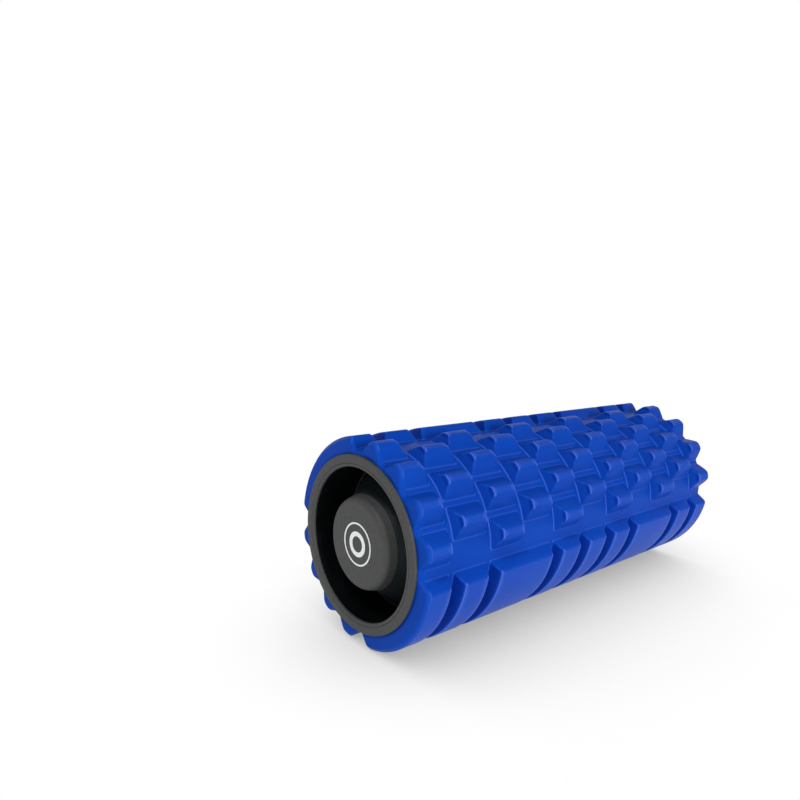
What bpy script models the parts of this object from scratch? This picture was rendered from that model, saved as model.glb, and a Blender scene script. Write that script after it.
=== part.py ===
"""Foam roller: a moulded foam sleeve with a blocky tread, on a rigid hollow tube that a
pressed-in cap closes at each end.

Metres, +Z up. The roller lies along X on the plane Z = 0, with its middle above the origin.
Angles around the roller are counted from straight up towards -Y.
"""

import math

import bmesh
import bpy

MM = 0.001

# Overall size
LENGTH = 330 * MM             # over both cap rims
RIM_PROUD = 2 * MM            # a cap's rim stands this far out of the sleeve's end
TREAD_RADIUS = 68 * MM        # axis to the tops of the tread
TREAD_DEPTH = 8 * MM
FIT_GAP = 0.3 * MM            # between pieces that touch

# Sleeve and tube
TUBE_OUTER = 55 * MM
TUBE_WALL = 3 * MM
END_CHAMFER = 3 * MM          # on the tread at the sleeve's ends

# Tread, along the roller: rows of blocks, and long bars that cover one row or two
ROWS = 11
END_ROW = 23.5 * MM           # sleeve's end to the middle of the first groove
GROOVE = 3.9 * MM             # width of the groove's floor between rows
FLANK_RUN = 3.8 * MM          # a block's end slopes over this length
BAR_ROWS = (1, 1, 2, 1, 1, 1, 2, 1, 1)

# Tread, around the roller: two staggered zones of blocks with two zones of bars between them
COLUMN_STEP = 11.3            # degrees from one column to the next, which is staggered
ODD_ROW = (-3, -1, 1, 3)
EVEN_ROW = (-2, 0, 2)
BLOCK_HALF = 9.6              # degrees, at the groove's floor
BLOCK_HALF_TOP = 2.6
BAR_EDGE = 50                 # degrees from a block zone's middle to the nearest bar's foot
BAR_EDGE_TOP = 54
BAR_CUTS = 11
BAR_HALF = 90 - BAR_EDGE
BAR_HALF_TOP = 90 - BAR_EDGE_TOP

# End cap, as depths behind the rim's face and radii
RIM_OUTER = 57 * MM
RIM_EDGE = 0.8 * MM
SKIRT_INNER = 49.3 * MM
SKIRT_DEPTH = 34.6 * MM
WALL = 2.4 * MM
FLOOR_DEPTH = 32 * MM
BOSS_RADIUS = 29 * MM
BOSS_DEPTH = 1.5 * MM
BOSS_ROUND = 2 * MM
FLARE_START = 3 * MM          # the boss widens from here down to the floor
FLARE_END = 30 * MM
FLARE_WIDTH = 16 * MM
FLARE_POWER = 1.42
FLARE_POINTS = 6

# Badge on the boss
BADGE_OUTER = 14 * MM
BADGE_INNER = 11 * MM
BADGE_THICKNESS = 0.4 * MM

ROUND_STEPS = 48
SMOOTH_ANGLE = 20              # degrees; sharper edges are shaded sharp
MERGE = 0.00001
SINK = 1.5 * MM               # the tread's roots reach into the sleeve's wall
OVERRUN = 3 * MM              # raw sleeve past its ends, before they are trimmed

# Worked out from the sizes above
SLEEVE_HALF = LENGTH / 2 - RIM_PROUD
GROOVE_RADIUS = TREAD_RADIUS - TREAD_DEPTH
PITCH = 2 * (SLEEVE_HALF - END_ROW) / (ROWS - 2)
# The roller rests on a bar's top edge and on the top edges of the nearest column of blocks.
REST_SPREAD = (BAR_EDGE_TOP - (3 * COLUMN_STEP + BLOCK_HALF_TOP)) / 2
ZONE_ANGLE = 180 + (BAR_EDGE_TOP + 3 * COLUMN_STEP + BLOCK_HALF_TOP) / 2
AXIS_HEIGHT = TREAD_RADIUS * math.cos(math.radians(REST_SPREAD))


def clear_scene():
    for obj in list(bpy.data.objects):
        bpy.data.objects.remove(obj, do_unlink=True)


def new_collection(name):
    collection = bpy.data.collections.new(name)
    bpy.context.scene.collection.children.link(collection)
    return collection


def plastic(name, colour, roughness):
    material = bpy.data.materials.new(name)
    material.use_nodes = True
    shader = material.node_tree.nodes["Principled BSDF"]
    shader.inputs["Base Color"].default_value = (*colour, 1)
    shader.inputs["Roughness"].default_value = roughness
    shader.inputs["Metallic"].default_value = 0
    material.diffuse_color = (*colour, 1)
    return material


def add_object(name, mesh, collection, axis_empty):
    obj = bpy.data.objects.new(name, mesh)
    collection.objects.link(obj)
    obj.parent = axis_empty
    return obj


def mark_cutter(obj):
    obj.hide_render = True
    obj.display_type = "WIRE"


def profile_mesh(name, points, closed):
    """Profile of (radius, height) points in the XZ plane, to be turned about Z."""
    count = len(points)
    edges = [(i, (i + 1) % count) for i in range(count if closed else count - 1)]
    mesh = bpy.data.meshes.new(name)
    mesh.from_pydata([(radius, 0, height) for radius, height in points], edges, [])
    return mesh


def turned(name, points, closed, collection, axis_empty):
    """A solid turned from a profile that runs down its outer side, top to bottom."""
    obj = add_object(name, profile_mesh(name, points, closed), collection, axis_empty)
    screw = obj.modifiers.new("turn", "SCREW")
    screw.steps = ROUND_STEPS
    screw.render_steps = ROUND_STEPS
    screw.use_merge_vertices = True
    screw.merge_threshold = MERGE
    return obj


def bake(obj):
    """Replaces an object's modifiers by the mesh that they make, shaded as a round piece."""
    depsgraph = bpy.context.evaluated_depsgraph_get()
    mesh = bpy.data.meshes.new_from_object(obj.evaluated_get(depsgraph))
    mesh.name = obj.name
    obj.modifiers.clear()
    obj.data = mesh
    mesh.shade_smooth()
    mesh.set_sharp_from_angle(angle=math.radians(SMOOTH_ANGLE))


def ring_profile(inner, outer, bottom, top):
    return [(inner, top), (outer, top), (outer, bottom), (inner, bottom)]


def along_roller(obj, side, distance=0.0):
    """Turns a piece made along Z so that its top faces -X (side -1) or +X (side 1)."""
    obj.location = (side * distance, 0, 0)
    obj.rotation_euler = (0, side * math.pi / 2, 0)


def on_roller(x, angle, radius):
    turn = math.radians(angle)
    return (x, -radius * math.sin(turn), radius * math.cos(turn))


def add_tread_piece(tread, start, end, angle, half, half_top, cuts):
    """A block or bar from start to end at the groove's floor, with sloping sides.

    It is a cube that is cut across, then wrapped round the roller. Its sides go on down by
    SINK into the sleeve's wall, and at the sleeve's ends it runs on to be trimmed.
    """
    piece = bmesh.new()
    bmesh.ops.create_cube(piece, size=2)
    if cuts:
        across = [edge for edge in piece.edges if abs(edge.verts[0].co.y - edge.verts[1].co.y) > 1]
        bmesh.ops.subdivide_edges(piece, edges=across, cuts=cuts)
    root = SINK / TREAD_DEPTH
    for vertex in piece.verts:
        top = vertex.co.z > 0
        x = start if vertex.co.x < 0 else end
        if abs(x) < SLEEVE_HALF:
            x -= vertex.co.x * (FLANK_RUN if top else -FLANK_RUN * root)
        spread = half_top if top else half + (half - half_top) * root
        radius = TREAD_RADIUS if top else GROOVE_RADIUS - SINK
        vertex.co = on_roller(x, angle + vertex.co.y * spread, radius)
    bmesh.ops.triangulate(piece, faces=piece.faces)
    bmesh.ops.recalc_face_normals(piece, faces=piece.faces)
    mesh = bpy.data.meshes.new("piece")
    piece.to_mesh(mesh)
    piece.free()
    tread.from_mesh(mesh)
    bpy.data.meshes.remove(mesh)


def row_span(first, count=1):
    """Start and end of some rows at the groove's floor, or past the sleeve's end."""
    grooves = [row * PITCH + END_ROW - SLEEVE_HALF for row in range(ROWS - 1)]
    last = first + count - 1
    start = grooves[first - 1] + GROOVE / 2 if first > 0 else -SLEEVE_HALF - OVERRUN / 2
    end = grooves[last] - GROOVE / 2 if last < ROWS - 1 else SLEEVE_HALF + OVERRUN / 2
    return start, end


def make_tread(collection, axis_empty):
    tread = bmesh.new()
    for zone in (ZONE_ANGLE, ZONE_ANGLE - 180):
        for row in range(ROWS):
            for column in EVEN_ROW if row % 2 else ODD_ROW:
                angle = zone + column * COLUMN_STEP
                add_tread_piece(tread, *row_span(row), angle, BLOCK_HALF, BLOCK_HALF_TOP, 0)
        first = 0
        for count in BAR_ROWS:
            span = row_span(first, count)
            add_tread_piece(tread, *span, zone + 90, BAR_HALF, BAR_HALF_TOP, BAR_CUTS)
            first += count
    mesh = bpy.data.meshes.new("tread")
    tread.to_mesh(mesh)
    tread.free()
    obj = add_object("tread", mesh, collection, axis_empty)
    mark_cutter(obj)
    return obj


def make_envelope(collection, axis_empty):
    """Room that the finished sleeve fills: it trims the ends and chamfers the tread there."""
    clear = TREAD_RADIUS + OVERRUN
    edge = TREAD_RADIUS - END_CHAMFER
    slope = clear - edge
    half = SLEEVE_HALF
    profile = [(0, half), (edge, half), (clear, half - slope),
               (clear, slope - half), (edge, -half), (0, -half)]
    obj = turned("sleeve_envelope", profile, False, collection, axis_empty)
    along_roller(obj, 1)
    mark_cutter(obj)
    return obj


def add_boolean(obj, operand, operation):
    boolean = obj.modifiers.new(operation.lower(), "BOOLEAN")
    boolean.operation = operation
    boolean.object = operand
    boolean.solver = "EXACT"


def make_sleeve(parts, cutters, axis_empty, material):
    raw_half = SLEEVE_HALF + OVERRUN
    profile = ring_profile(TUBE_OUTER + FIT_GAP, GROOVE_RADIUS, -raw_half, raw_half)
    sleeve = turned("foam_sleeve", profile, True, parts, axis_empty)
    along_roller(sleeve, 1)
    add_boolean(sleeve, make_tread(cutters, axis_empty), "UNION")
    add_boolean(sleeve, make_envelope(cutters, axis_empty), "INTERSECT")
    bake(sleeve)
    sleeve.data.materials.append(material)


def make_tube(parts, axis_empty, material):
    profile = ring_profile(TUBE_OUTER - TUBE_WALL, TUBE_OUTER, -SLEEVE_HALF, SLEEVE_HALF)
    tube = turned("core_tube", profile, True, parts, axis_empty)
    along_roller(tube, 1)
    bake(tube)
    tube.data.materials.append(material)


def boss_flank(depth):
    along = max(depth - FLARE_START, 0) / (FLARE_END - FLARE_START)
    return BOSS_RADIUS + FLARE_WIDTH * along ** FLARE_POWER


def quarter(centre_radius, centre_height, radius, first_degrees, steps=3):
    """Quarter circle that turns clockwise from first_degrees, counted from outwards."""
    points = []
    for step in range(steps + 1):
        turn = math.radians(first_degrees - 90 * step / steps)
        points.append((centre_radius + radius * math.cos(turn),
                       centre_height + radius * math.sin(turn)))
    return points


def cap_profile():
    """The cap's section from the middle of the boss out to the rim and back underneath."""
    flare = [FLARE_END * step / FLARE_POINTS for step in range(1, FLARE_POINTS + 1)]
    skirt_outer = TUBE_OUTER - TUBE_WALL - FIT_GAP
    rim_back = -(RIM_PROUD - FIT_GAP)
    boss_top = quarter(BOSS_RADIUS - BOSS_ROUND, -BOSS_DEPTH - BOSS_ROUND, BOSS_ROUND, 90)
    front = [(0, -BOSS_DEPTH), *boss_top]
    front += [(boss_flank(depth), -depth) for depth in flare]
    front += [(SKIRT_INNER - 1.6 * RIM_EDGE, -FLOOR_DEPTH), (SKIRT_INNER, -FLOOR_DEPTH + RIM_EDGE)]
    front += quarter(SKIRT_INNER + RIM_EDGE, -RIM_EDGE, RIM_EDGE, 180, 2)
    front += quarter(RIM_OUTER - RIM_EDGE, -RIM_EDGE, RIM_EDGE, 90, 2)
    back = [(RIM_OUTER, rim_back), (skirt_outer, rim_back), (skirt_outer, -SKIRT_DEPTH)]
    back += [(boss_flank(SKIRT_DEPTH) - WALL, -SKIRT_DEPTH)]
    back += [(boss_flank(depth) - WALL, -depth) for depth in reversed(flare[1:])]
    back += [(BOSS_RADIUS - WALL, -BOSS_DEPTH - WALL), (0, -BOSS_DEPTH - WALL)]
    return front + back


def make_cap(name, side, parts, axis_empty, material):
    cap = turned(name, cap_profile(), False, parts, axis_empty)
    along_roller(cap, side, LENGTH / 2)
    bake(cap)
    cap.data.materials.append(material)


def make_badge(name, side, parts, axis_empty, material):
    bottom = -BOSS_DEPTH + FIT_GAP
    profile = ring_profile(BADGE_INNER, BADGE_OUTER, bottom, bottom + BADGE_THICKNESS)
    badge = turned(name, profile, True, parts, axis_empty)
    along_roller(badge, side, LENGTH / 2)
    bake(badge)
    badge.data.materials.append(material)


def make_roller():
    clear_scene()
    parts = new_collection("foam_roller")
    cutters = new_collection("cutters")
    axis_empty = bpy.data.objects.new("roller_axis", None)
    axis_empty.location = (0, 0, AXIS_HEIGHT)
    parts.objects.link(axis_empty)
    bpy.context.view_layer.update()

    foam = plastic("blue_foam", (0.006, 0.055, 0.50), 0.55)
    rigid = plastic("black_plastic", (0.030, 0.030, 0.029), 0.5)
    tube_plastic = plastic("tube_plastic", (0.02, 0.02, 0.02), 0.6)
    white = plastic("white_print", (0.85, 0.85, 0.84), 0.5)

    make_sleeve(parts, cutters, axis_empty, foam)
    make_tube(parts, axis_empty, tube_plastic)
    for side, end in ((-1, "left"), (1, "right")):
        make_cap(f"end_cap_{end}", side, parts, axis_empty, rigid)
        make_badge(f"badge_{end}", side, parts, axis_empty, white)


make_roller()
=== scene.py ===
"""Looks of the foam roller: the moulded foam sleeve with its tread, the two end caps with
their generic badges, the tube between them, and a plain pale studio.
"""
import math

import bmesh
import bpy
import numpy as np
from mathutils import Matrix, Vector, noise
from mathutils.geometry import delaunay_2d_cdt


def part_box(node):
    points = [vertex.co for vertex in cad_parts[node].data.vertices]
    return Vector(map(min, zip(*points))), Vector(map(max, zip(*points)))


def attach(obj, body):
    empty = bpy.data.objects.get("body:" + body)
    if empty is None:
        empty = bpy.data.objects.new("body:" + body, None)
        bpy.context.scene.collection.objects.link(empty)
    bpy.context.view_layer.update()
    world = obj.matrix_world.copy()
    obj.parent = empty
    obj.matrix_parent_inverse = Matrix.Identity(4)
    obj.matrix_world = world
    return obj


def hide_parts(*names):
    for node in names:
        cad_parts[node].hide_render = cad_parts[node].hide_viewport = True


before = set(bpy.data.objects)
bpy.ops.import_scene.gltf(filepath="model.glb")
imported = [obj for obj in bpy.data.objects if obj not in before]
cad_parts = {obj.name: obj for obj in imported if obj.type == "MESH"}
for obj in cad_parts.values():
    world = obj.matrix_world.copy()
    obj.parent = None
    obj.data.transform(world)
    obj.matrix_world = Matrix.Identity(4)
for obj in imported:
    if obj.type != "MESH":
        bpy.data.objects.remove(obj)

MM = 0.001

# ---- Sizes from the frame, in millimetres ---------------------------------------------------
SLEEVE_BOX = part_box("foam_sleeve")
TUBE_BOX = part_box("core_tube")
CAP_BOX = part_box("end_cap_left")
SLEEVE_HALF = SLEEVE_BOX[1].x / MM
RIM_FACE = -CAP_BOX[0].x / MM
RIM_OUTER = (CAP_BOX[1].z - CAP_BOX[0].z) / 2 / MM
TUBE_OUTER = (TUBE_BOX[1].z - TUBE_BOX[0].z) / 2 / MM
AXIS_HEIGHT = (TUBE_BOX[1].z + TUBE_BOX[0].z) / 2 / MM

# ---- The tread, as the CAD has it: millimetres, and degrees around the roller ----------------
TREAD_RADIUS = 68.0
TREAD_DEPTH = 8.0
GROOVE_RADIUS = TREAD_RADIUS - TREAD_DEPTH
ROWS = 11
END_ROW = 23.5
GROOVE = 3.9               # between the feet of neighbouring rows
FLANK_RUN = 3.8            # a piece's ends slope in this far from foot to top
BAR_ROWS = (1, 1, 2, 1, 1, 1, 2, 1, 1)
COLUMN_STEP = 11.3
ODD_ROW = (-3, -1, 1, 3)
EVEN_ROW = (-2, 0, 2)
BLOCK_HALF = 9.6
BLOCK_HALF_TOP = 2.6
BAR_EDGE = 50.0
BAR_EDGE_TOP = 54.0
PITCH = 2 * (SLEEVE_HALF - END_ROW) / (ROWS - 2)
ZONE_ANGLE = 180 + (BAR_EDGE_TOP + 3 * COLUMN_STEP + BLOCK_HALF_TOP) / 2

# ---- The moulding's soft edges, which only the looks have -----------------------------------
FOOT = 0.8                 # the fillet at a flank's foot reaches this far over the floor
EDGE_ALONG = 1.0           # rounding of a top edge, over the top face, at a piece's ends
EDGE_AROUND = 1.8          # and at its long sides
FOOT_SHARE = 0.10          # of the flank's height that each rounding takes
EDGE_SHARE = 0.20
FLANK_SHARES = (0.35, 0.62)    # two levels between the roundings
CORNER_FOOT = 1.3          # radius of a piece's corners, seen from above
CORNER_TOP = 1.9
CORNER_LEAST = 0.25
END_CORNERS = ((0.0, 0.0), (0.7, 0.0), (3.0, 2.4), (3.0, 4.0))   # out, and in towards the axis
END_ROUNDING = 0.7
BORE_GAP = 0.3
BORE_CHAMFER = 0.8
SEAM_ANGLE = 46.8          # a line along the roller, clear of blocks and bars
NOISE_SIZE = 0.10          # hand-scale unevenness of the foam
NOISE_SCALE = 38.0
NOISE_SEED = 7             # without one the noise starts from the clock
NOISE_MARGIN = 1.0         # the bore and this much over it stay true

# ---- The mesh's fineness, in millimetres or counts ------------------------------------------
ROUND_STEPS = 4            # across each fillet, edge rounding and corner
LENGTH_SPACING = 4.7       # along a piece's outline
WIDTH_SPACING = 2.7        # and across it
LENGTH_LEAST = 5
WIDTH_LEAST = 8
OPEN_SPACING = 2.4         # across an open piece's top, at the sleeve's end
OPEN_LEAST = 2
TOP_SPACING = 2.6
TOP_MARGIN = 0.6
FLOOR_SPACING = 3.6
FLOOR_MARGIN = 0.8         # the floor's own points keep this far from the pieces
SEAM_STEPS = 84
SEAM_CORNER = 1.6
WELD = 0.002
CLOSEST = 1e-5             # points of a flat layout nearer than this are one

# ---- The foam's painted light: above zero a painted highlight lightens the skin, below zero painted shade darkens it -
PAINTED_LIGHT = "foam_painted_light"
NEAR = 1.0                 # millimetres from a piece's end, and degrees from its side
LEVEL_PAINTED_LIGHT = (   # painted highlight above zero, painted shade below: a block's ends, a bar's ends, corners and sides, for each level of a piece
    (0, 0, 0, 0), (0.3, 0.1, 0.3, 0.1), (0.6, 0.2, 0.5, 0.25), (0.1, -0.2, 0.1, 0.1),
    (-0.12, -0.6, -0.15, 0), (-0.1, -0.7, -0.05, 0), (-0.05, -0.65, 0.1, 0),
    (-0.6, -0.6, 0, 0), (-0.6, -0.4, 0.2, 0), (0.1, 0.2, 0.5, 0), (0.9, 0.85, 0.7, 0.05),
    (0.45, 0.4, 0.3, 0.12))
# painted sheen: the top faces get this share of the highlight colour
TOP_PAINTED_SHEEN = 0.12
END_PAINTED_HIGHLIGHT = (0, 0.15, 0.45, 0.15)   # painted highlight on the rings over the sleeve's end
RAISED = TREAD_RADIUS - 2  # beyond this radius a ring's point is on a block or bar


# ---- Small helpers --------------------------------------------------------------------------
def bezier(a, b, c, t):
    """The point at t of the quadratic curve from a to c that bends towards b."""
    return (1 - t) ** 2 * a + 2 * t * (1 - t) * b + t * t * c


def steps(count, first=0.0, last=1.0):
    """count + 1 evenly spaced numbers from first to last."""
    return [first + (last - first) * i / count for i in range(count + 1)]


def rounded(corners, radii, count):
    """A 2D line through the corners with each one rounded; the two ends stay sharp."""
    line = [corners[0]]
    for before, corner, after, radius in zip(corners, corners[1:], corners[2:], radii):
        if radius <= 0:
            line.append(corner)
            continue
        here = Vector(corner)
        back = Vector(before) - here
        on = Vector(after) - here
        reach = min(radius, back.length / 2, on.length / 2)
        start = here + back.normalized() * reach
        end = here + on.normalized() * reach
        line += [tuple(bezier(start, here, end, t)) for t in steps(count)]
    line.append(corners[-1])
    return line


def settled_mesh(bm, name):
    """The mesh of a bmesh built in millimetres about the roller's axis, put in the frame."""
    bm.transform(Matrix.Translation((0, 0, AXIS_HEIGHT * MM)) @ Matrix.Scale(MM, 4))
    mesh = bpy.data.meshes.new(name)
    bm.to_mesh(mesh)
    bm.free()
    return mesh


def place(name, mesh):
    obj = bpy.data.objects.new(name, mesh)
    bpy.context.scene.collection.objects.link(obj)
    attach(obj, "root")
    return obj


# ---- Tread ----------------------------------------------------------------------------------
def side_levels():
    """(share of the flank's run, extra along, extra around, height) up a piece's side.

    The side starts on the floor, FOOT outside the flank, and ends on the top face.
    """
    levels = []
    for t in steps(ROUND_STEPS):
        share = bezier(0, 0, FOOT_SHARE, t)
        extra = bezier(-FOOT, 0, 0, t)
        levels.append((share, extra, extra, share * TREAD_DEPTH))
    for share in FLANK_SHARES:
        levels.append((share, 0, 0, share * TREAD_DEPTH))
    for t in steps(ROUND_STEPS):
        share = bezier(1 - EDGE_SHARE, 1, 1, t)
        levels.append((share, t * t * EDGE_ALONG, t * t * EDGE_AROUND, share * TREAD_DEPTH))
    return levels


class TreadPiece:
    """A block or a bar. start and end are its foot's ends along the roller in millimetres;
    one that runs to the sleeve's end is open there. Its long sides lie at angle +- half."""

    def __init__(self, first_row, row_count, angle, half, half_top):
        grooves = [row * PITCH + END_ROW - SLEEVE_HALF for row in range(ROWS - 1)]
        last_row = first_row + row_count - 1
        self.open_start = first_row == 0
        self.open_end = last_row == ROWS - 1
        band = SLEEVE_HALF - END_CORNERS[-1][0]
        self.start = -band if self.open_start else grooves[first_row - 1] + GROOVE / 2
        self.end = band if self.open_end else grooves[last_row] - GROOVE / 2
        self.angle, self.half, self.half_top = angle, half, half_top

    def outline(self, share, along, around, height):
        """Points (x, angle in degrees) round the piece at one level of its side."""
        radius = GROOVE_RADIUS + height
        wide = math.radians(self.half - share * (self.half - self.half_top)) * radius - around
        inset = share * FLANK_RUN + along
        low = self.start + (0 if self.open_start else inset)
        high = self.end - (0 if self.open_end else inset)
        corner = CORNER_FOOT + (CORNER_TOP - CORNER_FOOT) * share - (along + around) / 2
        corner = max(corner, CORNER_LEAST)
        if self.open_end:
            low, high = -high, -low
        points = self._round_points(low, high, wide, corner)
        flip = -1 if self.open_end else 1
        return [(flip * x, self.angle + math.degrees(s / radius)) for x, s in points]

    def _round_points(self, low, high, wide, corner):
        """Points (x, distance around) of a rectangle with round corners; an open piece's
        outline has only its two corners at high."""
        is_open = self.open_start or self.open_end
        length = self.end - self.start
        width = math.radians(2 * self.half) * GROOVE_RADIUS
        length_steps = max(LENGTH_LEAST, round(length / LENGTH_SPACING))
        width_steps = max(WIDTH_LEAST, round(width / WIDTH_SPACING))
        first = low if is_open else low + corner
        points = [(x, -wide) for x in steps(length_steps, first, high - corner)[:-1]]
        points += self._corner(high - corner, corner - wide, corner, -90)
        points += [(high, s) for s in steps(width_steps, corner - wide, wide - corner)[1:-1]]
        points += self._corner(high - corner, wide - corner, corner, 0)
        points += [(x, wide) for x in steps(length_steps, high - corner, first)[1:]]
        if not is_open:
            points.pop()
            points += self._corner(low + corner, wide - corner, corner, 90)
            points += [(low, s) for s in steps(width_steps, wide - corner, corner - wide)[1:-1]]
            points += self._corner(low + corner, corner - wide, corner, 180)[:-1]
        return points

    @staticmethod
    def _corner(x, s, radius, first_degrees):
        turns = [math.radians(first_degrees + 90 * t) for t in steps(ROUND_STEPS)]
        return [(x + radius * math.cos(a), s + radius * math.sin(a)) for a in turns]


def inside(points, loop):
    """For each point, whether it lies inside the closed loop."""
    points, loop = np.asarray(points), np.asarray(loop)
    result = np.zeros(len(points), bool)
    for (x0, y0), (x1, y1) in zip(loop, np.roll(loop, -1, axis=0)):
        crosses = (y0 > points[:, 1]) != (y1 > points[:, 1])
        if crosses.any():
            at = x0 + (points[:, 1] - y0) * (x1 - x0) / (y1 - y0 if y1 != y0 else 1)
            result ^= crosses & (points[:, 0] < at)
    return result


def triangulate(loops, extra, closed):
    """Delaunay triangles over the loops' points and the extra points."""
    points, edges = [], []
    for loop, is_closed in zip(loops, closed):
        base, count = len(points), len(loop)
        points += loop
        last = count if is_closed else count - 1
        edges += [(base + i, base + (i + 1) % count) for i in range(last)]
    points += extra
    made = delaunay_2d_cdt([Vector(p) for p in points], edges, [], 0, CLOSEST)
    return [tuple(v) for v in made[0]], [tuple(face) for face in made[2]]


def grid_points(x_span, s_span, spacing):
    """Evenly spaced points inside a rectangle, none on its border."""
    columns = max(1, round((x_span[1] - x_span[0]) / spacing))
    rows = max(1, round((s_span[1] - s_span[0]) / spacing))
    return [(x, s) for x in steps(columns, *x_span)[1:-1] for s in steps(rows, *s_span)[1:-1]]


def face_middles(points, faces):
    return [np.mean([points[i] for i in face], axis=0) for face in faces]


class Shell:
    """Collects points (x, angle, radius), their painted highlight and shade tones and the faces of
    the tread's surface.
    """

    def __init__(self):
        self.points, self.tone, self.faces = [], [], []

    def add(self, points, tone, faces):
        base = len(self.points)
        self.points += points
        self.tone += tone
        self.faces += [tuple(base + i for i in face) for face in faces]


def ring_painted_light(piece, loop, painted_tones):
    """One level's painted highlight and shade: the values are for a block's ends, a bar's ends, the
    corners and sides.
    """
    on_block, on_bar, at_corner, at_side = painted_tones
    at_end = on_bar if piece.half > BLOCK_HALF else on_block
    low, high = min(x for x, _ in loop), max(x for x, _ in loop)
    widest = max(abs(angle - piece.angle) for _, angle in loop)
    values = []
    for x, angle in loop:
        to_low = math.inf if piece.open_start else x - low
        to_high = math.inf if piece.open_end else high - x
        if min(to_low, to_high) > NEAR:
            values.append(at_side)
        else:
            at_edge = widest - abs(angle - piece.angle) < NEAR
            values.append(at_corner if at_edge else at_end)
    return values


def add_piece(shell, piece):
    """Side walls as strips between the outlines of neighbouring levels, and the top face."""
    is_open = piece.open_start or piece.open_end
    levels = side_levels()
    loops = [piece.outline(*level) for level in levels]
    tone = [value for loop, painted_tones in zip(loops, LEVEL_PAINTED_LIGHT)
            for value in ring_painted_light(piece, loop, painted_tones)]
    count = len(loops[0])
    points = [(x, angle, GROOVE_RADIUS + level[3])
              for loop, level in zip(loops, levels) for x, angle in loop]
    faces = []
    for ring in range(len(loops) - 1):
        for i in range(count - 1 if is_open else count):
            a, b = ring * count + i, ring * count + (i + 1) % count
            faces.append((a, b, b + count, a + count))
    shell.add(points, tone, faces)

    scale = math.radians(1) * TREAD_RADIUS
    top = [(x, angle * scale) for x, angle in loops[-1]]
    if is_open:
        across = max(OPEN_LEAST, round(abs(top[0][1] - top[-1][1]) / OPEN_SPACING))
        top += [(top[0][0], s) for s in steps(across, top[-1][1], top[0][1])[1:-1]]
    spans = [(min(values) + TOP_MARGIN, max(values) - TOP_MARGIN) for values in zip(*top)]
    points, faces = triangulate([top], grid_points(*spans, TOP_SPACING), [True])
    kept = inside(face_middles(points, faces), top)
    faces = [face for face, keep in zip(faces, kept) if keep]
    tone = tone[-count:] + [TOP_PAINTED_SHEEN] * (len(points) - count)
    shell.add([(x, s / scale, TREAD_RADIUS) for x, s in points], tone, faces)


def add_floor(shell, pieces, zone):
    """The sleeve's surface between the pieces of half a turn, up to both end bands."""
    scale = math.radians(1) * GROOVE_RADIUS
    band = SLEEVE_HALF - END_CORNERS[-1][0]
    low = (zone - SEAM_ANGLE) * scale
    high = (zone + 180 - SEAM_ANGLE) * scale
    foot = side_levels()[0]
    loops, closed = [], []
    for piece in pieces:
        loops.append([(x, angle * scale) for x, angle in piece.outline(*foot)])
        closed.append(not (piece.open_start or piece.open_end))
    border = [(x, low) for x in steps(SEAM_STEPS, -band, band)[:-1]]
    border += [(band, s) for s in (low, low + SEAM_CORNER)]
    border += [(x, high) for x in steps(SEAM_STEPS, band, -band)[:-1]]
    border += [(-band, s) for s in (high, high - SEAM_CORNER)]
    extra = grid_points((-band, band), (low, high), FLOOR_SPACING)
    blocked = np.zeros(len(extra), bool)
    for piece in pieces:
        wider = piece.outline(foot[0], foot[1] - FLOOR_MARGIN, foot[2] - FLOOR_MARGIN, 0)
        blocked |= inside(extra, [(x, angle * scale) for x, angle in wider])
    extra = [point for point, block in zip(extra, blocked) if not block]
    points, faces = triangulate(loops + [border], extra, closed + [False])
    middles = face_middles(points, faces)
    kept = np.ones(len(faces), bool)
    for loop in loops:
        kept &= ~inside(middles, loop)
    faces = [face for face, keep in zip(faces, kept) if keep]
    shell.add([(x, s / scale, GROOVE_RADIUS) for x, s in points], [0] * len(points), faces)


def half_turn(zone):
    """The blocks and bars of half a turn: a block zone and the bar zone after it."""
    pieces = []
    for row in range(ROWS):
        for column in EVEN_ROW if row % 2 else ODD_ROW:
            angle = zone + column * COLUMN_STEP
            pieces.append(TreadPiece(row, 1, angle, BLOCK_HALF, BLOCK_HALF_TOP))
    first = 0
    for count in BAR_ROWS:
        pieces.append(TreadPiece(first, count, zone + 90, 90 - BAR_EDGE, 90 - BAR_EDGE_TOP))
        first += count
    return pieces


def tread_mesh():
    shell = Shell()
    pieces = half_turn(ZONE_ANGLE - 180)
    for piece in pieces:
        add_piece(shell, piece)
    add_floor(shell, pieces, ZONE_ANGLE - 180)
    half = np.array(shell.points)
    other = half + (0, 180, 0)
    x, angle, radius = np.vstack([half, other]).T
    angle = np.radians(angle)
    points = np.column_stack([x, -radius * np.sin(angle), radius * np.cos(angle)])
    count = len(half)
    faces = shell.faces + [tuple(i + count for i in face) for face in shell.faces]
    mesh = bpy.data.meshes.new("foam_tread")
    mesh.from_pydata(points.tolist(), [], faces)
    # each point's painted highlight or painted shade, as a point attribute
    mesh.attributes.new(PAINTED_LIGHT, "FLOAT", "POINT").data.foreach_set("value", shell.tone * 2)
    return mesh


def extend_rings(bm, edges, moves, painted_tones):
    """Extrudes an end's ring of edges again and again; moves gives each ring's new place, and
    the last argument gives its painted highlight on the blocks and bars."""
    layer = bm.verts.layers.float[PAINTED_LIGHT]
    for move, tone in zip(moves, painted_tones):
        made = bmesh.ops.extrude_edge_only(bm, edges=edges)["geom"]
        edges = [item for item in made if isinstance(item, bmesh.types.BMEdge)]
        for vertex in {v for edge in edges for v in edge.verts}:
            radius = math.hypot(vertex.co.y, vertex.co.z)
            x, new_radius = move(vertex.co.x, radius)
            vertex[layer] = tone if radius > RAISED else 0
            y, z = vertex.co.yz
            vertex.co = (x, y * new_radius / radius, z * new_radius / radius)
    return edges


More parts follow.
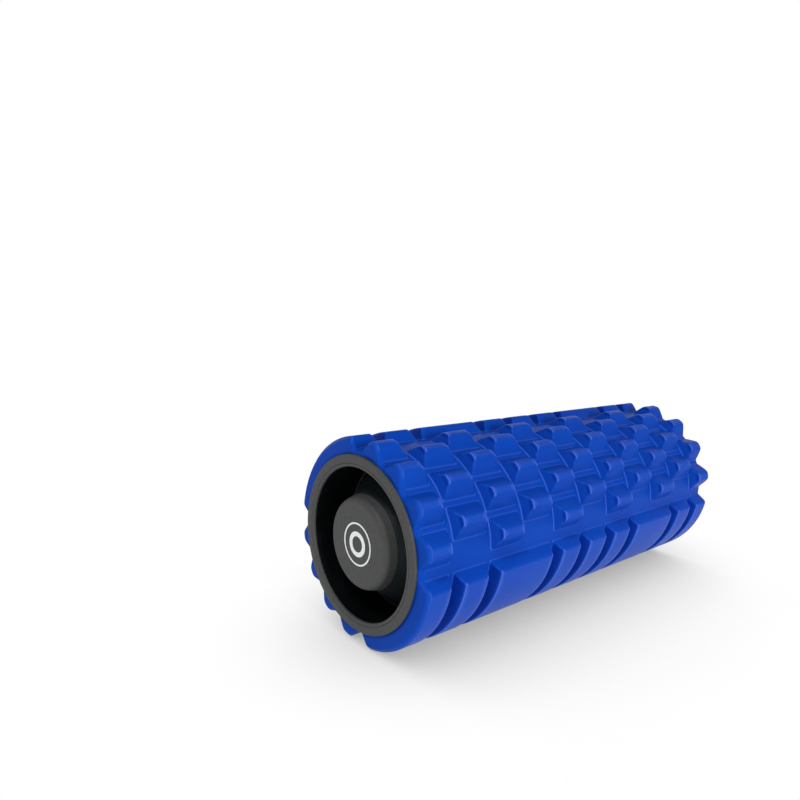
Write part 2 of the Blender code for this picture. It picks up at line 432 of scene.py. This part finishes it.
def close_end(bm, side, bore):
    """From the tread over the end's chamfer, and down the end face into the bore."""
    ring = [edge for edge in bm.edges
            if edge.is_boundary and all(side * v.co.x > SLEEVE_HALF / 2 for v in edge.verts)]
    path = rounded(END_CORNERS, (END_ROUNDING, END_ROUNDING), 3)
    moves = []
    for (x0, in0), (x1, in1) in zip(path, path[1:]):
        moves.append(lambda x, r, dx=x1 - x0, dr=in1 - in0: (x + side * dx, r - dr))
    # painted highlight over the end's first rings, none further in
    painted_tones = list(END_PAINTED_HIGHLIGHT) + [0] * (len(moves) - len(END_PAINTED_HIGHLIGHT))
    ring = extend_rings(bm, ring, moves, painted_tones)
    face = SLEEVE_HALF
    return extend_rings(bm, ring, [
        lambda x, r: (side * face, (r + bore) / 2),
        lambda x, r: (side * face, bore + BORE_CHAMFER),
        lambda x, r: (side * (face - BORE_CHAMFER), bore)], (0, 0, 0))


def make_sleeve(material):
    bm = bmesh.new()
    bm.from_mesh(tread_mesh())
    bmesh.ops.remove_doubles(bm, verts=bm.verts, dist=WELD)
    bore = TUBE_OUTER + BORE_GAP
    rings = [close_end(bm, side, bore) for side in (-1, 1)]
    bmesh.ops.bridge_loops(bm, edges=rings[0] + rings[1])
    bmesh.ops.recalc_face_normals(bm, faces=bm.faces)
    noise.seed_set(NOISE_SEED)
    for vertex in bm.verts:
        if math.hypot(vertex.co.y, vertex.co.z) > bore + NOISE_MARGIN:
            vertex.co += NOISE_SIZE * noise.noise_vector(vertex.co / NOISE_SCALE)
    mesh = settled_mesh(bm, "foam_sleeve_moulded")
    mesh.shade_smooth()
    mesh.materials.append(material)
    sleeve = place("foam_sleeve_moulded", mesh)
    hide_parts("foam_sleeve")


# ---- End caps -------------------------------------------------------------------------------
# Millimetres; depths run inwards from the rim's face.
CAP_SEGMENTS = 160
WALL = 2.4
SKIRT_INNER = 49.3
SKIRT_OUTER = 51.7
SKIRT_DEPTH = 34.6
RIM_BACK = 1.7
BOSS_RADIUS = 29.0
BOSS_DEPTH = 1.5
BOSS_ROUNDING = 3.6
FLARE_START = 3.0
FLARE_END = 30.0
FLARE_WIDTH = 16.0
FLARE_POWER = 1.42
FLANK_START = 9.0          # the boss's rounding ends here
FLANK_RINGS = 14
RECESS_FLOOR = 33.4
RECESS_ROUNDING = 2.4
LIP = (                    # (radius, depth) out of the recess, over a fine step, to the rim's back
    (SKIRT_INNER, 2.0), (SKIRT_INNER, 0.25), (51.2, 0.25), (51.4, 0.55), (51.8, 0.0),
    (RIM_OUTER, 0.0), (RIM_OUTER, RIM_BACK))
LIP_ROUNDINGS = (1.4, 0.1, 0.12, 0.2, 0.7)
SHARP_ANGLE = 50
SAME_POINT = 1e-6
FACE, RECESS, FLANK = 0, 1, 2      # the cap's finishes, with painted shade in the recess and a painted reflection on the flank, as places in its list of materials


def boss_flank(depth):
    """The boss's radius at a depth: it flares towards the recess's floor."""
    along = max(depth - FLARE_START, 0) / (FLARE_END - FLARE_START)
    return BOSS_RADIUS + FLARE_WIDTH * along ** FLARE_POWER


def cap_sections():
    """The cap's section as (radius, depth) lines, each with its finish."""
    depths = steps(FLANK_RINGS, FLANK_START, FLARE_END)
    flank = [(boss_flank(depth), depth) for depth in depths]
    boss = rounded([(0, BOSS_DEPTH), (BOSS_RADIUS, BOSS_DEPTH), flank[0]], [BOSS_ROUNDING], 12)
    recess = rounded([flank[-1], (SKIRT_INNER, RECESS_FLOOR), LIP[0]], [RECESS_ROUNDING], 6)
    lip = rounded(LIP, LIP_ROUNDINGS, 4)
    back = [LIP[-1], (SKIRT_OUTER, RIM_BACK), (SKIRT_OUTER, SKIRT_DEPTH),
            (boss_flank(SKIRT_DEPTH) - WALL, SKIRT_DEPTH)]
    back += [(boss_flank(depth) - WALL, depth) for depth in reversed(depths[:-1:3])]
    back += [(BOSS_RADIUS - WALL, BOSS_DEPTH + WALL), (0, BOSS_DEPTH + WALL)]
    return [(boss, FACE), (flank, FLANK), (recess, RECESS), (lip, FACE), (back, RECESS)]


def joined(sections):
    """The sections as one line without doubled points, and the finish of each of its pieces."""
    line, finishes = [], []
    for points, finish in sections:
        for point in points:
            if line and math.dist(point, line[-1]) < SAME_POINT:
                continue
            if line:
                finishes.append(finish)
            line.append(point)
    return line, finishes


def turned_mesh(name, sections, side):
    """A closed mesh turned about the roller's axis from its sections."""
    line, finishes = joined(sections)
    turns = [2 * math.pi * i / CAP_SEGMENTS for i in range(CAP_SEGMENTS)]
    bm = bmesh.new()
    rings = []
    for radius, depth in line:
        x = side * (RIM_FACE - depth)
        if radius == 0:
            rings.append([bm.verts.new((x, 0, 0))] * CAP_SEGMENTS)
            continue
        rings.append([bm.verts.new((x, radius * math.cos(a), radius * math.sin(a))) for a in turns])
    for near, far, finish in zip(rings, rings[1:], finishes):
        for i in range(CAP_SEGMENTS):
            j = (i + 1) % CAP_SEGMENTS
            corners = list(dict.fromkeys((near[i], near[j], far[j], far[i])))
            bm.faces.new(corners).material_index = finish
    bmesh.ops.recalc_face_normals(bm, faces=bm.faces)
    return settled_mesh(bm, name)


def make_cap(side, end, materials):
    name = f"end_cap_{end}_moulded"
    mesh = turned_mesh(name, cap_sections(), side)
    mesh.shade_smooth()
    for material in materials:
        mesh.materials.append(material)
    mesh.set_sharp_from_angle(angle=math.radians(SHARP_ANGLE))
    cap = place(name, mesh)
    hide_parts(f"end_cap_{end}")


# ---- Badges ---------------------------------------------------------------------------------
BADGE_RADIUS = 14.0
BADGE_RING = 1.1
BADGE_THICK = 0.12
INNER_RING = (5.2, 8.2)
BADGE_WELD = 0.0005


def half_ring(inner, outer, first, count=60):
    """Half of a ring as a closed 2D loop, from first degrees on."""
    turns = [math.radians(a) for a in steps(count, first, first + 180)]
    outline = [(outer * math.cos(a), outer * math.sin(a)) for a in turns]
    return outline + [(inner * math.cos(a), inner * math.sin(a)) for a in reversed(turns)]


def make_badge(side, end, material):
    """Two plain rings, one in the other, printed on the boss."""
    bm = bmesh.new()
    rings = ((BADGE_RADIUS - BADGE_RING, BADGE_RADIUS), INNER_RING)
    loops = [half_ring(*ring, first) for ring in rings for first in (0, 180)]
    surface = side * (RIM_FACE - BOSS_DEPTH)
    for loop in loops:
        base = [bm.verts.new((surface, y, z)) for y, z in loop]
        top = [bm.verts.new((surface + side * BADGE_THICK, y, z)) for y, z in loop]
        bm.faces.new(base)
        bm.faces.new(top)
        for i in range(len(loop)):
            j = (i + 1) % len(loop)
            bm.faces.new((base[i], base[j], top[j], top[i]))
    bmesh.ops.remove_doubles(bm, verts=bm.verts, dist=BADGE_WELD)
    bmesh.ops.recalc_face_normals(bm, faces=bm.faces)
    name = f"badge_{end}_print"
    mesh = settled_mesh(bm, name)
    mesh.materials.append(material)
    badge = place(name, mesh)
    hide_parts(f"badge_{end}")


# ---- Materials ------------------------------------------------------------------------------
NOISE_MIDDLE = (0.3, 0.7)  # a noise seldom goes past these


def new_material(name, colour, roughness, **inputs):
    """A material with its node tree and shader; an input's name has _ for each space."""
    material = bpy.data.materials.new(name)
    material.use_nodes = True
    shader = material.node_tree.nodes["Principled BSDF"]
    shader.inputs["Base Color"].default_value = (*colour, 1)
    shader.inputs["Roughness"].default_value = roughness
    for key, value in inputs.items():
        shader.inputs[key.replace("_", " ")].default_value = value
    return material, material.node_tree, shader


def noise_node(tree, scale, detail, roughness=0.5):
    """A noise fixed to the object, scale waves to the metre."""
    coordinates = tree.nodes.new("ShaderNodeTexCoord")
    node = tree.nodes.new("ShaderNodeTexNoise")
    node.inputs["Scale"].default_value = scale
    node.inputs["Detail"].default_value = detail
    node.inputs["Roughness"].default_value = roughness
    tree.links.new(coordinates.outputs["Object"], node.inputs["Vector"])
    return node.outputs["Fac"]


def ramp_node(tree, source, low, high):
    """Blends between two values or colours over the middle of a noise."""
    node = tree.nodes.new("ShaderNodeValToRGB")
    for element, position, value in zip(node.color_ramp.elements, NOISE_MIDDLE, (low, high)):
        element.position = position
        element.color = (*value, 1) if isinstance(value, tuple) else (value, value, value, 1)
    tree.links.new(source, node.inputs["Fac"])
    return node.outputs["Color"]


def ramp_of(tree, source, places, levels, blend="SMOOTHSTEP"):
    """Goes from one level to the other as the source goes from one place to the other."""
    node = tree.nodes.new("ShaderNodeMapRange")
    node.interpolation_type = blend
    for name, value in zip(("From Min", "From Max", "To Min", "To Max"), (*places, *levels)):
        node.inputs[name].default_value = value
    tree.links.new(source, node.inputs["Value"])
    return node.outputs["Result"]


def bump_chain(tree, shader, layers):
    """Bump layers of (height source, strength, distance in metres), one on another."""
    normal = None
    for source, strength, distance in layers:
        node = tree.nodes.new("ShaderNodeBump")
        node.inputs["Strength"].default_value = strength
        node.inputs["Distance"].default_value = distance
        tree.links.new(source, node.inputs["Height"])
        if normal is not None:
            tree.links.new(normal, node.inputs["Normal"])
        normal = node.outputs["Normal"]
    tree.links.new(normal, shader.inputs["Normal"])


def painted_light_mix(tree, base, colour, low, high):
    """Mixes a painted highlight or painted shade colour over the base as the foam's painted tone
    goes from low to high.
    """
    tone = tree.nodes.new("ShaderNodeAttribute")
    tone.attribute_name = PAINTED_LIGHT
    mix = tree.nodes.new("ShaderNodeMix")
    mix.data_type = "RGBA"
    share = ramp_of(tree, tone.outputs["Fac"], (low, high), (0, 1), "LINEAR")
    tree.links.new(share, mix.inputs["Factor"])
    tree.links.new(base, mix.inputs["A"])
    mix.inputs["B"].default_value = (*colour, 1)
    return mix.outputs["Result"]


def foam_material():
    """Closed-cell foam with a satin moulded skin: fine cells, faint cloudiness, a painted highlight
    along edges and over the tops, and painted shade down in the narrow gaps."""
    material, tree, shader = new_material("blue_foam_skin", (0.003, 0.050, 0.38), 0.36,
                                          Specular_IOR_Level=0.03)
    cloud = noise_node(tree, 28, 3)
    colour = ramp_node(tree, cloud, (0.0027, 0.047, 0.365), (0.0033, 0.054, 0.395))
    # painted highlight along edges and over the tops
    colour = painted_light_mix(tree, colour, (0.075, 0.145, 0.62), 0, 1)
    # painted shade down in the narrow gaps
    colour = painted_light_mix(tree, colour, (0.0, 0.012, 0.20), 0, -1)
    tree.links.new(colour, shader.inputs["Base Color"])
    grain = ramp_node(tree, noise_node(tree, 260, 4), 0.32, 0.40)
    tree.links.new(grain, shader.inputs["Roughness"])
    bump_chain(tree, shader, [
        (noise_node(tree, 90, 2), 0.25, 0.0004),
        (noise_node(tree, 1500, 3, 0.6), 0.22, 0.00006)])
    return material


def cap_face_material():
    """Moulded plastic with a fine spark-eroded texture, on the rim and the boss's face."""
    material, tree, shader = new_material("cap_textured_plastic", (0.043, 0.045, 0.044), 0.62)
    mottle = noise_node(tree, 420, 3)
    colour = ramp_node(tree, mottle, (0.038, 0.040, 0.039), (0.048, 0.050, 0.049))
    tree.links.new(colour, shader.inputs["Base Color"])
    grain = ramp_node(tree, noise_node(tree, 900, 2), 0.58, 0.68)
    tree.links.new(grain, shader.inputs["Roughness"])
    bump_chain(tree, shader, [(noise_node(tree, 2200, 3, 0.65), 0.35, 0.00005)])
    return material


def cap_smooth_material(name, colour, roughness):
    """The same plastic with a smoother mould finish; its colour is given, darkened as painted shade
    in the recess or tinted as a painted reflection on the boss's flank.
    """
    material, tree, shader = new_material(name, colour, roughness, Specular_IOR_Level=0.35)
    grain = ramp_node(tree, noise_node(tree, 160, 3), roughness - 0.04, roughness + 0.06)
    tree.links.new(grain, shader.inputs["Roughness"])
    bump_chain(tree, shader, [(noise_node(tree, 700, 3), 0.15, 0.00004)])
    return material


def tube_material():
    material, tree, shader = new_material("tube_plastic_grain", (0.02, 0.02, 0.02), 0.6)
    grain = ramp_node(tree, noise_node(tree, 300, 3), 0.5, 0.68)
    tree.links.new(grain, shader.inputs["Roughness"])
    bump_chain(tree, shader, [(noise_node(tree, 800, 3), 0.3, 0.0001)])
    return material


def print_material():
    material, tree, shader = new_material("white_pad_print", (0.82, 0.84, 0.84), 0.5)
    colour = ramp_node(tree, noise_node(tree, 500, 3), (0.78, 0.80, 0.80), (0.86, 0.87, 0.87))
    tree.links.new(colour, shader.inputs["Base Color"])
    grain = ramp_node(tree, noise_node(tree, 900, 2), 0.45, 0.6)
    tree.links.new(grain, shader.inputs["Roughness"])
    bump_chain(tree, shader, [(noise_node(tree, 1800, 3), 0.2, 0.00004)])
    return material


# ---- Studio ---------------------------------------------------------------------------------
WALL_SIDE = (0.62, 0.76, 0.18)     # towards the middle of the white wall
WALL_SPAN = (0.2, 0.68)            # along WALL_SIDE: from the room's level to the wall's
ROOM_LIGHT = 0.38
TOP_SPAN = (0.42, 0.66)            # upwards: from the wall's level to the ceiling's
TOP_LIGHT = 0.2
FLOOR_HALF = 30                    # metres
FLOOR_SHADE = (0.33, 1.0)          # glow of the painted shadow where the roller hides the light, and where nothing does
SHADE_SPAN = (0, 0.86)             # shares of open sky that these two stand for
SHADE_REACH = 0.20
LIGHT_AIM = (0, 0, 0.06)
LIGHTS = (                         # name, place, diameter in metres, watts
    ("front_light", (-0.30, -2.0, 0.50), 0.6, 22),
    ("high_light", (-0.95, -0.50, 1.5), 0.4, 13))
CAMERA_LENS = 28.485
CAMERA_SENSOR = 36
CAMERA_SHIFT = 0.05
CAMERA_PLACE = (-0.38487, -0.30707, 0.13652)       # from the middle of the roller's axis
CAMERA_RIGHT = (0.77196, -0.6354, 0.0188)
CAMERA_FORWARD = (0.62761, 0.75714, -0.18122)


def make_camera():
    data = bpy.data.cameras.new("camera")
    data.lens = CAMERA_LENS
    data.sensor_width = CAMERA_SENSOR
    data.shift_y = CAMERA_SHIFT
    camera = bpy.data.objects.new("camera", data)
    right, forward = Vector(CAMERA_RIGHT).normalized(), Vector(CAMERA_FORWARD).normalized()
    up = right.cross(forward)
    turn = Matrix((right, up, -forward)).transposed().to_4x4()
    camera_at = Vector(CAMERA_PLACE) + Vector((0, 0, AXIS_HEIGHT * MM))
    camera.matrix_world = Matrix.Translation(camera_at) @ turn
    bpy.context.scene.collection.objects.link(camera)
    bpy.context.scene.camera = camera


def area_light(name, light_at, size, power):
    """A round light aimed at the roller."""
    data = bpy.data.lights.new(name, "AREA")
    data.shape = "DISK"
    data.size = size
    data.energy = power
    light = bpy.data.objects.new(name, data)
    light.location = light_at
    aim = Vector(LIGHT_AIM) - Vector(light_at)
    light.rotation_euler = aim.to_track_quat("-Z", "Y").to_euler()
    bpy.context.scene.collection.objects.link(light)


def studio_world():
    """A white wall on one side of the room and softer light from the rest of it. The backdrop
    itself is plain white all round."""
    world = bpy.data.worlds.new("studio_white")
    world.use_nodes = True
    tree = world.node_tree
    coordinates = tree.nodes.new("ShaderNodeTexCoord")
    towards = tree.nodes.new("ShaderNodeVectorMath")
    towards.operation = "DOT_PRODUCT"
    towards.inputs[1].default_value = WALL_SIDE
    tree.links.new(coordinates.outputs["Generated"], towards.inputs[0])
    wall = ramp_of(tree, towards.outputs["Value"], WALL_SPAN, (ROOM_LIGHT, 1.0))
    split = tree.nodes.new("ShaderNodeSeparateXYZ")
    tree.links.new(coordinates.outputs["Generated"], split.inputs["Vector"])
    level = ramp_of(tree, split.outputs["Z"], TOP_SPAN, (1.0, TOP_LIGHT))
    tree.links.new(wall, level.node.inputs["To Min"])
    path = tree.nodes.new("ShaderNodeLightPath")
    backdrop = tree.nodes.new("ShaderNodeMath")
    backdrop.operation = "MAXIMUM"
    tree.links.new(level, backdrop.inputs[0])
    tree.links.new(path.outputs["Is Camera Ray"], backdrop.inputs[1])
    tree.links.new(backdrop.outputs["Value"], tree.nodes["Background"].inputs["Color"])
    bpy.context.scene.world = world


def make_floor():
    """Glowing white floor with a painted soft neutral shadow, from ambient occlusion, where the
    roller keeps the light off it.
    """
    bm = bmesh.new()
    bmesh.ops.create_grid(bm, x_segments=1, y_segments=1, size=FLOOR_HALF)
    mesh = bpy.data.meshes.new("floor")
    bm.to_mesh(mesh)
    bm.free()
    material = bpy.data.materials.new("floor_white_painted_shadow")
    material.use_nodes = True
    tree = material.node_tree
    shade = tree.nodes.new("ShaderNodeAmbientOcclusion")
    shade.inputs["Distance"].default_value = SHADE_REACH
    white = tree.nodes.new("ShaderNodeEmission")
    level = ramp_of(tree, shade.outputs["AO"], SHADE_SPAN, FLOOR_SHADE, "LINEAR")
    tree.links.new(level, white.inputs["Strength"])
    tree.links.new(white.outputs["Emission"], tree.nodes["Material Output"].inputs["Surface"])
    mesh.materials.append(material)
    floor = bpy.data.objects.new("floor", mesh)
    bpy.context.scene.collection.objects.link(floor)


def make_studio():
    bpy.context.scene.view_settings.view_transform = "Standard"
    studio_world()
    make_floor()
    for light in LIGHTS:
        area_light(*light)


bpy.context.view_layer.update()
make_camera()
make_studio()
cap_plastics = [
    cap_face_material(),
    # painted shade: a near-black copy of the plastic in the recess
    cap_smooth_material("cap_recess_painted_shade", (0.0012, 0.0018, 0.0024), 0.34),
    # painted reflection: a teal-tinted copy of the plastic on the boss's flank
    cap_smooth_material("cap_flank_painted_reflection", (0.014, 0.020, 0.023), 0.40)]
white = print_material()
make_sleeve(foam_material())
for cap_side, cap_end in ((-1, "left"), (1, "right")):
    make_cap(cap_side, cap_end, cap_plastics)
    make_badge(cap_side, cap_end, white)
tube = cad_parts["core_tube"]
tube.data.materials.clear()
tube.data.materials.append(tube_material())
